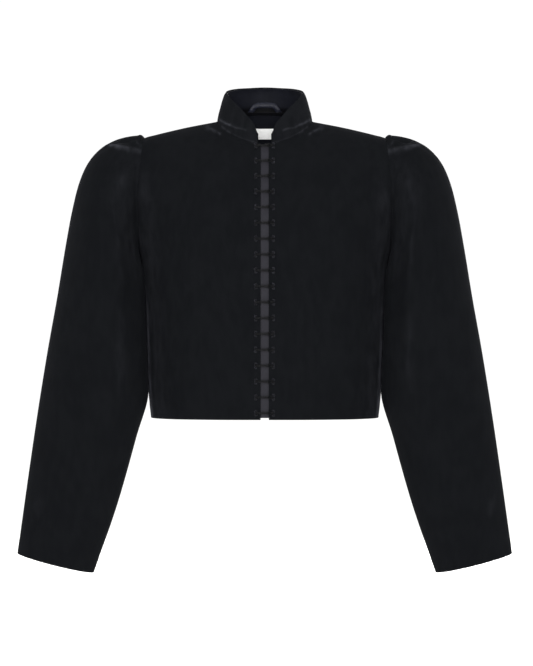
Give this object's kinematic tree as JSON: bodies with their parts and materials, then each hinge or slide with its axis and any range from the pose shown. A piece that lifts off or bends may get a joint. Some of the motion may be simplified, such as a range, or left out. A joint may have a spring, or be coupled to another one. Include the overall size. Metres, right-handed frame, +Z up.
{
  "type": "cropped velvet jacket",
  "caption": "Short black velvet jacket with a stand collar, puffed sleeves and a hook-and-eye front over a ribbed underlay, filled out hollow as if worn.",
  "frame": {"origin": "midway between the two side-neck points, where the shoulder seams meet the collar and the wearer's shoulders carry the jacket", "axes": "+Z up, +Y to the wearer's back, +X to the wearer's left"},
  "size_m": [0.7392, 0.2198, 0.7321],
  "materials": {
    "velvet": "black cotton velvet, short pile",
    "lining": "black satin lining",
    "grosgrain": "grey ribbed ribbon",
    "satin": "dark satin cord",
    "woven_white": "plain white woven tape",
    "black_enamel": "black enamelled brass wire"
  },
  "bodies": {
    "root": {"front_left": "velvet", "front_right": "velvet", "back": "velvet", "sleeve_left": "velvet", "sleeve_right": "velvet", "collar": "velvet", "collar_facing": "lining", "back_neck_facing": "lining", "hanger_loop": "satin", "neck_label": "woven_white", "front_underlay": "grosgrain", "hook_01": "black_enamel", "hook_02": "black_enamel", "hook_03": "black_enamel", "hook_04": "black_enamel", "hook_05": "black_enamel", "hook_06": "black_enamel", "hook_07": "black_enamel", "hook_08": "black_enamel", "hook_09": "black_enamel", "hook_10": "black_enamel", "hook_11": "black_enamel", "hook_12": "black_enamel", "hook_13": "black_enamel", "hook_14": "black_enamel", "hook_15": "black_enamel", "hook_16": "black_enamel", "hook_17": "black_enamel", "hook_18": "black_enamel", "eye_01": "black_enamel", "eye_02": "black_enamel", "eye_03": "black_enamel", "eye_04": "black_enamel", "eye_05": "black_enamel", "eye_06": "black_enamel", "eye_07": "black_enamel", "eye_08": "black_enamel", "eye_09": "black_enamel", "eye_10": "black_enamel", "eye_11": "black_enamel", "eye_12": "black_enamel", "eye_13": "black_enamel", "eye_14": "black_enamel", "eye_15": "black_enamel", "eye_16": "black_enamel", "eye_17": "black_enamel", "eye_18": "black_enamel"}
  },
  "joints": []
}
